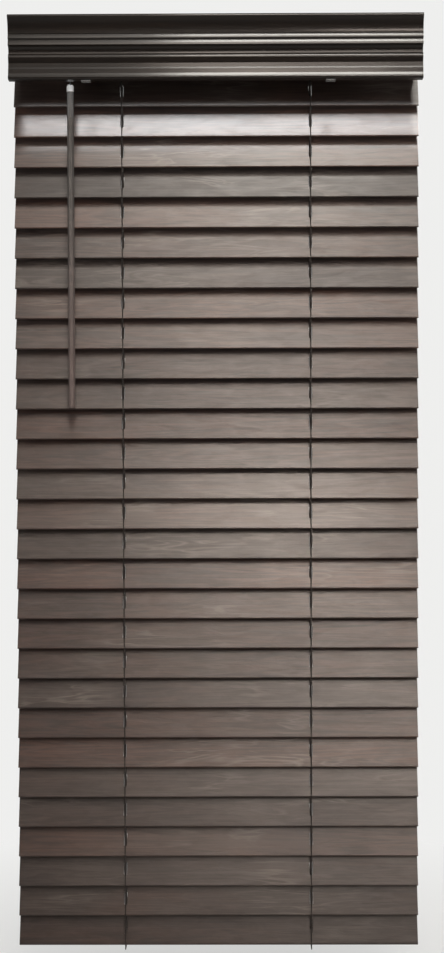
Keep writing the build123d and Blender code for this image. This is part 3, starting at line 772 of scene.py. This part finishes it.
class BLIND_OT_weave_lift_cords(bpy.types.Operator):
    """Weave each lift cord past the rungs, from the spring case down to its knot in the bottom rail"""

    bl_idname = "blind.weave_lift_cords"
    bl_label = "Weave Lift Cords"

    def execute(self, context):
        cords = context.scene.blind_cords
        braid = braided_cord()
        for hand, ladder_x in zip(sides, ladder_xs):
            node = f"{hand}_lift_cord"
            low, high = [Vector(corner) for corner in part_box(node)]
            sign = math.copysign(1, ladder_x)
            diameter = cords.lift_diameter
            run_z = high.z - diameter / 2
            start = Vector((sign * min(abs(low.x), abs(high.x)), 0, run_z))
            turn = lift_bend_share * diameter
            route = [start, Vector((ladder_x - sign * turn, 0, run_z)), Vector((ladder_x, 0, run_z))]
            route.append(Vector((ladder_x, 0, run_z - turn)))
            for number, name in enumerate(slat_names):
                axis_z = joint_named[f"{name}_tilt"]["pos_m"][2]
                beside = ladder_x + weave_side(number) * cords.cord_weave
                route.append(Vector((beside, 0, axis_z + slat_pitch * slot_top_share)))
                route.append(Vector((beside, 0, axis_z - slat_pitch * slot_bottom_share)))
            route.append(Vector((ladder_x, 0, rail_axis.z)))
            cord = smooth_curve(f"{hand}_lift_line", diameter, [route])
            cord.data.materials.append(braid)
            knot = stitch_knots([route[-1]], lift_knot_share * diameter)[0]
            knot.name = f"{hand}_lift_knot"
            knot.data.name = knot.name
            knot.data.materials.append(braid)
            for piece in (cord, knot):
                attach(piece, "headrail")
            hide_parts(node)
            length = abs(ladder_x - start.x) + run_z - rail_axis.z
        return {"FINISHED"}


class BLIND_OT_set_studio(bpy.types.Operator):
    """Set the pale floor and backdrop, the lamps and the camera"""

    bl_idname = "blind.set_studio"
    bl_label = "Set Studio"

    def select_edges(self, sheet, *planes):
        """Select a sheet's edges that lie in all the planes, each given as an axis and a place on it."""
        near = 0.001
        for edge in sheet.data.edges:
            ends = [sheet.data.vertices[index].co for index in edge.vertices]
            edge.select = all(abs(end[axis] - place) < near for end in ends for axis, place in planes)

    def pale_sweep(self, studio):
        """Floor and backdrop in one sheet with a rounded corner."""
        floor_z = cad_box[0].z - studio.floor_gap
        back_y = studio.room_depth / 2
        corner_radius = back_y / 4
        deselect_all()
        bpy.ops.mesh.primitive_plane_add(size=studio.room_depth, location=(0, 0, floor_z))
        sweep = bpy.context.active_object
        sweep.name = "pale_sweep"
        bpy.ops.object.transform_apply(location=True)
        bpy.ops.object.mode_set(mode="EDIT")
        bpy.ops.mesh.select_all(action="DESELECT")
        bpy.ops.object.mode_set(mode="OBJECT")
        self.select_edges(sweep, (1, back_y))
        bpy.ops.object.mode_set(mode="EDIT")
        bpy.ops.mesh.select_mode(type="EDGE")
        bpy.ops.mesh.extrude_region_move(TRANSFORM_OT_translate={"value": (0, 0, back_y)})
        bpy.ops.object.mode_set(mode="OBJECT")
        self.select_edges(sweep, (1, back_y), (2, floor_z))
        bpy.ops.object.mode_set(mode="EDIT")
        bpy.ops.mesh.bevel(offset=corner_radius, segments=16)
        bpy.ops.object.mode_set(mode="OBJECT")
        bpy.ops.object.shade_smooth()
        finish = Finish("pale_paint")
        paint = finish.node("ShaderNodeBsdfDiffuse", {}, {"Color": (*studio.room_colour, 1)})
        glow = finish.node("ShaderNodeEmission", {}, {"Color": (*studio.room_colour, 1), "Strength": 1})
        ends = {0: finish.place(), 1: (0, 0, floor_z)}
        foot = finish.node("ShaderNodeVectorMath", {"operation": "DISTANCE"}, ends, "Value")
        # Near the blind's foot the floor glows less, so that the shadow shows there
        share = finish.ray("Camera") * finish.spread(foot, shadow_inner, shadow_outer, shadow_glow_share, 1)
        shader = finish.node("ShaderNodeMixShader", {}, {0: share, 1: paint, 2: glow})
        finish.node("ShaderNodeOutputMaterial", {}, {"Surface": shader})
        sweep.data.materials.append(finish.material)

    def lamp(self, name, place, aim, size, power, colour=(1, 1, 1), spread=180):
        """Soft rectangular lamp at a place, turned to what it lights; its beam's spread is in degrees."""
        deselect_all()
        bpy.ops.object.light_add(type="AREA", location=place)
        lamp = bpy.context.active_object
        lamp.name = name
        lamp.rotation_euler = (Vector(aim) - Vector(place)).to_track_quat("-Z", "Y").to_euler()
        lamp.data.shape = "RECTANGLE"
        lamp.data.size, lamp.data.size_y = size
        lamp.data.energy = power
        lamp.data.color = colour
        lamp.data.spread = math.radians(spread)

    def panel(self, name, x_span, z_span, square_metre_power, colour):
        """Upright soft panel behind the camera, between two places across and two heights."""
        width = x_span[1] - x_span[0]
        height = z_span[1] - z_span[0]
        middle = Vector((sum(x_span) / 2, panel_y, sum(z_span) / 2))
        facing = middle + Vector((0, 1, 0))
        self.lamp(name, middle, facing, (width, height), width * height * square_metre_power, colour)

    def set_lamps(self, studio):
        """Fills at the sides and behind, and panels and beams in front that the closed slats mirror."""
        warm = tuple(studio.warm_light)
        for side, x in zip(sides, (-side_fill["x"], side_fill["x"])):
            place = (x, side_fill["y"], side_fill["z"])
            self.lamp(f"{side}_fill", place, lit_middle, side_fill["size"], studio.fill_power)
        back_power = studio.fill_power * back_fill["share"]
        self.lamp("back_fill", back_fill["place"], lit_middle, back_fill["size"], back_power)
        self.lamp(
            "key_lamp", key_lamp["place"], key_lamp["aim"], key_lamp["size"], studio.key_power, warm,
            key_lamp["spread"])
        for name, (x_span, z_span, share) in sheen_panels.items():
            self.panel(name, x_span, z_span, studio.sheen_power * share, warm)
        sky_place = (sky_panel["x"], panel_y, sky_panel["z"])
        sky_aim = (sky_panel["x"], 0, sky_panel["z"])
        self.lamp("sky_panel", sky_place, sky_aim, sky_panel["size"], studio.sky_power, sky_panel["colour"])
        for name, (place, aim, size, share, spread) in narrow_beams.items():
            beam_place = (place[0], panel_y, place[1])
            beam_aim = (aim[0], 0, aim[1])
            self.lamp(name, beam_place, beam_aim, size, studio.beam_power * share, warm, spread)
        cove = Vector(cove_strip["place"])
        cove_aim = cove + Vector(cove_strip["way"])
        cove_spread = cove_strip["spread"]
        self.lamp("cove_strip", cove, cove_aim, cove_strip["size"], studio.cove_power, spread=cove_spread)

    def execute(self, context):
        studio = context.scene.blind_studio
        self.pale_sweep(studio)
        self.set_lamps(studio)
        context.scene.world = context.scene.world or bpy.data.worlds.new("studio")
        room = Finish("studio", context.scene.world)
        seen = room.ray("Camera") * studio.seen_room
        mirrored = room.ray("Glossy") * studio.mirrored_room
        strength = seen + mirrored + studio.room_light
        light = room.node("ShaderNodeBackground", {}, {"Color": (1, 1, 1, 1), "Strength": strength})
        room.node("ShaderNodeOutputWorld", {}, {"Surface": light})
        pitch, roll, yaw = studio.camera_turn
        deselect_all()
        bpy.ops.object.camera_add(location=studio.camera_place)
        camera = context.active_object
        turn = Matrix.Rotation(yaw, 4, "Z")
        turn = turn @ Matrix.Rotation(pitch, 4, "X")
        turn = turn @ Matrix.Rotation(-roll, 4, "Y")
        upright = Matrix.Rotation(math.radians(90), 4, "X")
        camera.matrix_world = Matrix.Translation(studio.camera_place) @ turn @ upright
        camera.data.sensor_width = film_side
        camera.data.lens = studio.camera_lens
        context.scene.camera = camera
        context.scene.view_settings.view_transform = "Standard"
        return {"FINISHED"}


class BLIND_PT_panel(bpy.types.Panel):
    """Sidebar panel with the blind's steps and settings"""

    bl_idname = "BLIND_PT_panel"
    bl_label = "Wooden Blind"
    bl_space_type = "VIEW_3D"
    bl_region_type = "UI"
    bl_category = "Blind"

    def draw(self, context):
        for step in steps:
            self.layout.operator(step.bl_idname)
        for group in (context.scene.blind_wood, context.scene.blind_cords, context.scene.blind_studio):
            box = self.layout.box()
            for name in group.__annotations__:
                box.prop(group, name)


steps = (BLIND_OT_stain_wood, BLIND_OT_finish_hardware, BLIND_OT_tie_rungs, BLIND_OT_weave_lift_cords,
         BLIND_OT_set_studio)
classes = (BlindWood, BlindCords, BlindStudio, *steps, BLIND_PT_panel)


def register():
    for each in classes:
        bpy.utils.register_class(each)
    bpy.types.Scene.blind_wood = bpy.props.PointerProperty(type=BlindWood)
    bpy.types.Scene.blind_cords = bpy.props.PointerProperty(type=BlindCords)
    bpy.types.Scene.blind_studio = bpy.props.PointerProperty(type=BlindStudio)


def unregister():
    del bpy.types.Scene.blind_studio
    del bpy.types.Scene.blind_cords
    del bpy.types.Scene.blind_wood
    for each in reversed(classes):
        bpy.utils.unregister_class(each)


def main():
    register()
    bpy.ops.blind.stain_wood()
    bpy.ops.blind.finish_hardware()
    bpy.ops.blind.tie_rungs()
    bpy.ops.blind.weave_lift_cords()
    bpy.ops.blind.set_studio()


if __name__ == "__main__":
    main()
